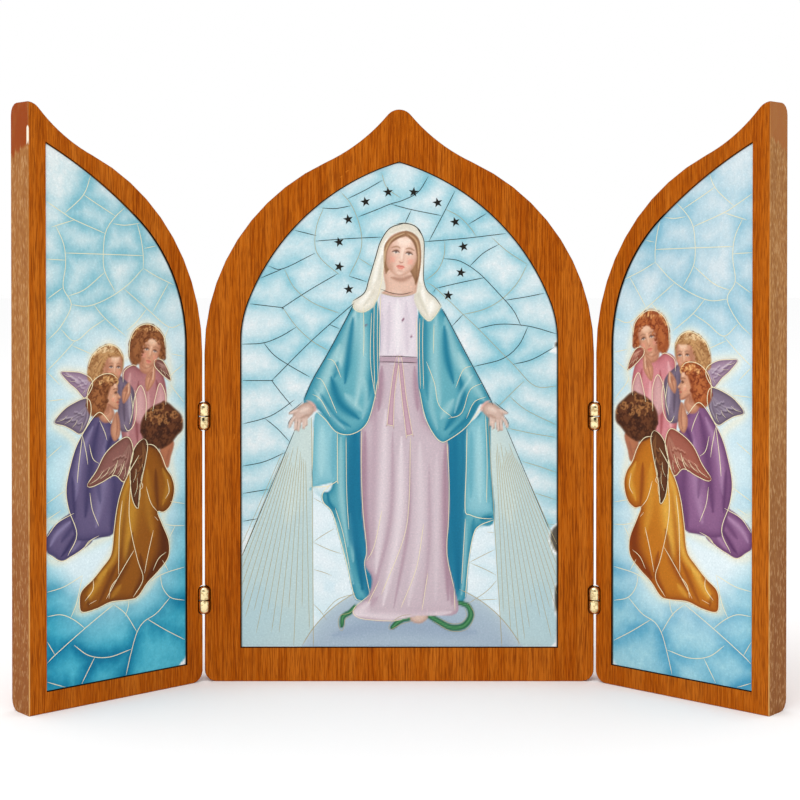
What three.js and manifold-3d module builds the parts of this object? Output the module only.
// Triptych altarpiece: an arched centre board and two leaves, each half its width, that fold over
// it on pill-shaped brass hinges. Each board is one piece of wood laminate with a routed recess
// that holds a printed picture plate. Millimetres, +Z up, the front faces -Y.
// The origin is on the underside of the centre board, at the middle of its width and thickness.
import * as THREE from 'three';
import { mergeVertices } from 'three/addons/utils/BufferGeometryUtils.js';
import Module from 'manifold-3d';

const wasm = await Module();
wasm.setup();

// Boards
const boardWidth = 143.5;
const boardThickness = 12;
// Crests: tipRadius rounds the point at the top, flareRadius is the hollow curve below it.
const centreCrest = { height: 210.8, tipRadius: 5.5, flareRadius: 66 };
const leafCrest = { height: 209.4, tipRadius: 6, flareRadius: 61 };
const shoulderRadius = 77.4; // full curve from the flare down to the straight side
const springHeight = 121.2; // where the straight sides end
const cornerRadius = 4.4; // bottom corners
const frontEasing = 0.25; // narrow chamfer round the front face
const backRounding = 4; // rounded edge round the back face
const closingClearance = 0.3; // each leaf stops this far short of the closing line

// Leaves and hinges
const leafAngle = 41.5; // degrees that each leaf stands forward of flat
const hingeGap = 0.5; // between the sides of two boards when they lie flat
const axisStandOff = 0.25; // hinge axis in front of the front faces
const hingeHeights = { lower: 30.2, upper: 98 };
const barrelRadius = 2.25;
const barrelLength = 10.5;
const barrelDome = 1.9; // height of each rounded end
const seamGap = 0.3; // between the two knuckles of a hinge
const seamEasing = 0.25;
const shankRadius = 0.9;
const shankReach = 7; // from the hinge axis to the tip of the shank
const shankTurn = 45; // degrees from the face of the board

// Pictures: four-centred arches, each half a tight haunch below a flatter crown. haunchTurn is
// how far round, in degrees, the haunch runs before the crown takes over.
const centrePicture = {
  innerEdge: -58.3, outerEdge: 58.3, bottom: 12.7,
  springHeight: 125.2, haunchRadius: 42.1, crownRadius: 85.8, haunchTurn: 21.6,
};
const leafPicture = {
  innerEdge: 7.3, outerEdge: 64.55, bottom: 7.5,
  springHeight: 124.1, haunchRadius: 61.9, crownRadius: 174, haunchTurn: 48,
};
const pictureThickness = 1.5;
const pictureSetBack = 0.6; // picture surface behind the front face

const clearance = 0.3; // between neighbouring pieces
const curveDivisions = 5;
const roundSides = 18;

const frontY = -boardThickness / 2;
const hingeX = boardWidth / 2 + hingeGap / 2;
const hingeY = frontY - axisStandOff;

const finishes = {
  laminate: { color: 0xb5652a, roughness: 0.45, metalness: 0 },
  print: { color: 0xa9cfdc, roughness: 0.35, metalness: 0 },
  brass: { color: 0xc9a453, roughness: 0.2, metalness: 1 },
};

// --- from shapes to solids ---------------------------------------------------

function solidFrom(geometry) {
  const bare = geometry.clone();
  bare.deleteAttribute('normal');
  bare.deleteAttribute('uv');
  const merged = mergeVertices(bare, 1e-4);
  return new wasm.Manifold(new wasm.Mesh({
    numProp: 3,
    vertProperties: new Float32Array(merged.attributes.position.array),
    triVerts: new Uint32Array(merged.index.array),
  }));
}

function geometryFrom(solid) {
  const { vertProperties, triVerts } = solid.getMesh();
  const geometry = new THREE.BufferGeometry();
  geometry.setAttribute('position', new THREE.BufferAttribute(vertProperties, 3));
  geometry.setIndex(new THREE.BufferAttribute(triVerts, 1));
  geometry.computeVertexNormals();
  return geometry;
}

function meshOf(name, solid, finish) {
  const mesh = new THREE.Mesh(geometryFrom(solid), new THREE.MeshStandardMaterial(finishes[finish]));
  mesh.name = name;
  return mesh;
}

// Joins rings of equal point count, front to back, into one closed solid with flat ends.
// Each ring is { y, points }, its points counterclockwise seen from the front.
function lofted(rings) {
  const count = rings[0].points.length;
  const positions = rings.flatMap(({ y, points }) => points.flatMap((point) => [point.x, y, point.y]));
  const triangles = [];
  for (let ring = 0; ring < rings.length - 1; ring += 1) {
    for (let i = 0; i < count; i += 1) {
      const next = (i + 1) % count;
      const front = ring * count;
      const back = front + count;
      triangles.push(front + i, back + i, front + next, front + next, back + i, back + next);
    }
  }
  const last = (rings.length - 1) * count;
  THREE.ShapeUtils.triangulateShape(rings[0].points, []).forEach(([a, b, c]) => {
    triangles.push(a, b, c);
  });
  THREE.ShapeUtils.triangulateShape(rings.at(-1).points, []).forEach(([a, b, c]) => {
    triangles.push(last + c, last + b, last + a);
  });
  const geometry = new THREE.BufferGeometry();
  geometry.setAttribute('position', new THREE.Float32BufferAttribute(positions, 3));
  geometry.setIndex(triangles);
  return solidFrom(geometry);
}

function box(low, high) {
  const size = high.map((value, axis) => value - low[axis]);
  const geometry = new THREE.BoxGeometry(...size);
  geometry.translate(...low.map((value, axis) => value + size[axis] / 2));
  return solidFrom(geometry);
}

// --- boards ------------------------------------------------------------------

const polar = (centre, radius, angle) =>
  new THREE.Vector2(centre.x + radius * Math.cos(angle), centre.y + radius * Math.sin(angle));

// The whole ogee-arched outline, moved inwards by inset: tip, flares, shoulders, sides and
// bottom corners. The centre of each flare is where its circle touches tip and shoulder.
function boardOutline({ height, tipRadius, flareRadius }, inset) {
  const tip = new THREE.Vector2(0, height - tipRadius);
  const shoulder = new THREE.Vector2(boardWidth / 2 - shoulderRadius, springHeight);
  const toTip = tipRadius + flareRadius;
  const toShoulder = shoulderRadius + flareRadius;
  const span = shoulder.clone().sub(tip);
  const apart = span.length();
  const along = (toTip ** 2 - toShoulder ** 2 + apart ** 2) / (2 * apart);
  const across = Math.sqrt(toTip ** 2 - along ** 2);
  const unit = span.divideScalar(apart);
  const flare = tip.clone().addScaledVector(unit, along)
    .addScaledVector(new THREE.Vector2(-unit.y, unit.x), across);

  const tipAngle = Math.atan2(flare.y - tip.y, flare.x - tip.x);
  const shoulderAngle = Math.atan2(flare.y - shoulder.y, flare.x - shoulder.x);
  const side = boardWidth / 2 - cornerRadius;

  const outline = new THREE.Path();
  outline.absarc(-side, cornerRadius, cornerRadius - inset, Math.PI, 1.5 * Math.PI);
  outline.absarc(side, cornerRadius, cornerRadius - inset, 1.5 * Math.PI, 2 * Math.PI);
  outline.absarc(shoulder.x, shoulder.y, shoulderRadius - inset, 0, shoulderAngle);
  outline.absarc(flare.x, flare.y, flareRadius + inset,
    shoulderAngle + Math.PI, tipAngle + Math.PI, true);
  outline.absarc(tip.x, tip.y, tipRadius - inset, tipAngle, Math.PI - tipAngle);
  outline.absarc(-flare.x, flare.y, flareRadius + inset,
    -tipAngle, -shoulderAngle, true);
  outline.absarc(-shoulder.x, shoulder.y, shoulderRadius - inset,
    Math.PI - shoulderAngle, Math.PI);
  const points = outline.getPoints(curveDivisions);
  return points.filter((point, i) => i === 0 || point.distanceTo(points[i - 1]) > 1e-3);
}

// A plain board: eased round the front face, rounded over round the back face.
function wholeBoard(crest) {
  const roundingSteps = 4;
  const rings = [
    { y: frontY, points: boardOutline(crest, frontEasing) },
    { y: frontY + frontEasing, points: boardOutline(crest, 0) },
  ];
  for (let step = 0; step <= roundingSteps; step += 1) {
    const turn = (step / roundingSteps) * Math.PI / 2;
    rings.push({
      y: -frontY - backRounding * (1 - Math.sin(turn)),
      points: boardOutline(crest, backRounding * (1 - Math.cos(turn))),
    });
  }
  return lofted(rings);
}

// --- pictures ----------------------------------------------------------------

// A four-centred arch, or the outer part of one, grown outwards by margin. side is 1 or -1.
function pictureOutline(shape, margin, side) {
  const turn = THREE.MathUtils.degToRad(shape.haunchTurn);
  const haunch = new THREE.Vector2(shape.outerEdge - shape.haunchRadius, shape.springHeight);
  const crown = polar(haunch, shape.haunchRadius - shape.crownRadius, turn);
  const haunchRadius = shape.haunchRadius + margin;
  const crownRadius = shape.crownRadius + margin;
  const whole = shape.innerEdge < 0;
  const inner = shape.innerEdge - margin;
  const outer = shape.outerEdge + margin;
  const top = Math.acos(((whole ? 0 : inner) - crown.x) / crownRadius);
  const outline = new THREE.Path();
  outline.moveTo(inner, shape.bottom - margin);
  outline.lineTo(outer, shape.bottom - margin);
  outline.absarc(haunch.x, haunch.y, haunchRadius, 0, turn);
  outline.absarc(crown.x, crown.y, crownRadius, turn, top);
  if (whole) {
    outline.absarc(-crown.x, crown.y, crownRadius, Math.PI - top, Math.PI - turn);
    outline.absarc(-haunch.x, haunch.y, haunchRadius, Math.PI - turn, Math.PI);
  }
  const points = outline.getPoints(curveDivisions * 2);
  return side > 0 ? points : points.map(({ x, y }) => new THREE.Vector2(-x, y)).reverse();
}

function plate(shape, margin, side, fromY, toY) {
  const points = pictureOutline(shape, margin, side)
    .filter((point, i, all) => point.distanceTo(all.at(i - 1)) > 1e-3);
  return lofted([{ y: fromY, points }, { y: toY, points }]);
}

const pictureSolid = (shape, side) => {
  const surface = frontY + pictureSetBack;
  return plate(shape, 0, side, surface, surface + pictureThickness);
};

const pictureRecess = (shape, side) => {
  const floor = frontY + pictureSetBack + pictureThickness + clearance;
  return plate(shape, clearance, side, frontY - 1, floor);
};

// --- hinges ------------------------------------------------------------------

// A round pill about the hinge axis, from height 0 up to a domed end. easing chamfers its foot.
function halfPill(radius, length, dome, easing) {
  const domeSteps = 5;
  const profile = [new THREE.Vector2(0, 0), new THREE.Vector2(radius - easing, 0)];
  if (easing > 0) profile.push(new THREE.Vector2(radius, easing));
  for (let step = 0; step < domeSteps; step += 1) {
    const turn = (step / domeSteps) * Math.PI / 2;
    profile.push(new THREE.Vector2(radius * Math.cos(turn), length - dome + dome * Math.sin(turn)));
  }
  profile.push(new THREE.Vector2(0, length));
  const geometry = new THREE.LatheGeometry(profile, roundSides);
  geometry.rotateX(Math.PI / 2);
  return solidFrom(geometry);
}

function upended(solid) {
  const geometry = geometryFrom(solid);
  geometry.rotateX(Math.PI);
  return solidFrom(geometry);
}

function placed(solid, x, y, z) {
  const geometry = geometryFrom(solid);
  geometry.translate(x, y, z);
  return solidFrom(geometry);
}

// A round bar from the hinge axis into a board. side is the side of the axis the board is on.
function shank(radius, reach, side) {
  const geometry = new THREE.CylinderGeometry(radius, radius, reach, 10);
  geometry.translate(0, reach / 2, 0);
  geometry.rotateZ(-side * (Math.PI / 2 - THREE.MathUtils.degToRad(shankTurn)));
  return solidFrom(geometry);
}

const knuckleHeight = barrelLength / 2 - seamGap / 2;
const knuckleMiddle = seamGap / 2 + (knuckleHeight - barrelDome) / 2 + seamEasing;

// One knuckle about the origin of its hinge: up is 1 for the upper one and -1 for the lower one.
function knuckle(up, side) {
  const pill = halfPill(barrelRadius, knuckleHeight, barrelDome, seamEasing);
  const barrel = placed(up > 0 ? pill : upended(pill), 0, 0, up * seamGap / 2);
  return barrel.add(placed(shank(shankRadius, shankReach, side), 0, 0, up * knuckleMiddle));
}

// What the boards lose round one hinge: the pill-shaped pocket, and the bore for a shank.
function hingeCut(up, side) {
  const length = barrelLength / 2 + clearance;
  const half = halfPill(barrelRadius + clearance, length, barrelDome + clearance / 2, 0);
  const bore = shank(shankRadius + clearance, shankReach + clearance, side);
  return half.add(upended(half)).add(placed(bore, 0, 0, up * knuckleMiddle));
}

// --- the centre --------------------------------------------------------------

const triptych = new THREE.Group();

let centreBoard = wholeBoard(centreCrest).subtract(pictureRecess(centrePicture, 1));
for (const side of [-1, 1]) {
  for (const height of Object.values(hingeHeights)) {
    centreBoard = centreBoard.subtract(placed(hingeCut(1, -side), side * hingeX, hingeY, height));
  }
}
triptych.add(meshOf('centre_board', centreBoard, 'laminate'));
triptych.add(meshOf('centre_picture', pictureSolid(centrePicture, 1), 'print'));

for (const [sideName, side] of [['left', -1], ['right', 1]]) {
  for (const [level, height] of Object.entries(hingeHeights)) {
    const fixedKnuckle = meshOf(`${sideName}_${level}_hinge_fixed_knuckle`, knuckle(1, -side), 'brass');
    fixedKnuckle.position.set(side * hingeX, hingeY, height);
    triptych.add(fixedKnuckle);
  }
}

// --- the leaves --------------------------------------------------------------

// A leaf is half of a whole board, sawn at the closing line. Its group turns about the hinge
// axis, where a half board laid flat beside the centre would have its hinge.
for (const [sideName, side] of [['left', -1], ['right', 1]]) {
  const reach = boardWidth;
  const half = side < 0
    ? box([closingClearance, -reach, -reach], [reach, reach, 2 * reach])
    : box([-reach, -reach, -reach], [-closingClearance, reach, 2 * reach]);
  const fromBoard = [side * (boardWidth + hingeGap) - side * hingeX, -hingeY, 0];

  let board = placed(
    wholeBoard(leafCrest).intersect(half).subtract(pictureRecess(leafPicture, -side)), ...fromBoard);
  for (const height of Object.values(hingeHeights)) {
    board = board.subtract(placed(hingeCut(-1, side), 0, 0, height));
  }

  const leaf = new THREE.Group();
  leaf.position.set(side * hingeX, hingeY, 0);
  leaf.rotation.z = -side * THREE.MathUtils.degToRad(leafAngle);
  leaf.add(meshOf(`${sideName}_board`, board, 'laminate'));
  const picture = placed(pictureSolid(leafPicture, -side), ...fromBoard);
  leaf.add(meshOf(`${sideName}_picture`, picture, 'print'));
  for (const [level, height] of Object.entries(hingeHeights)) {
    const name = `${sideName}_${level}_hinge_leaf_knuckle`;
    const leafKnuckle = meshOf(name, knuckle(-1, side), 'brass');
    leafKnuckle.position.z = height;
    leaf.add(leafKnuckle);
  }
  triptych.add(leaf);
}

export default triptych;
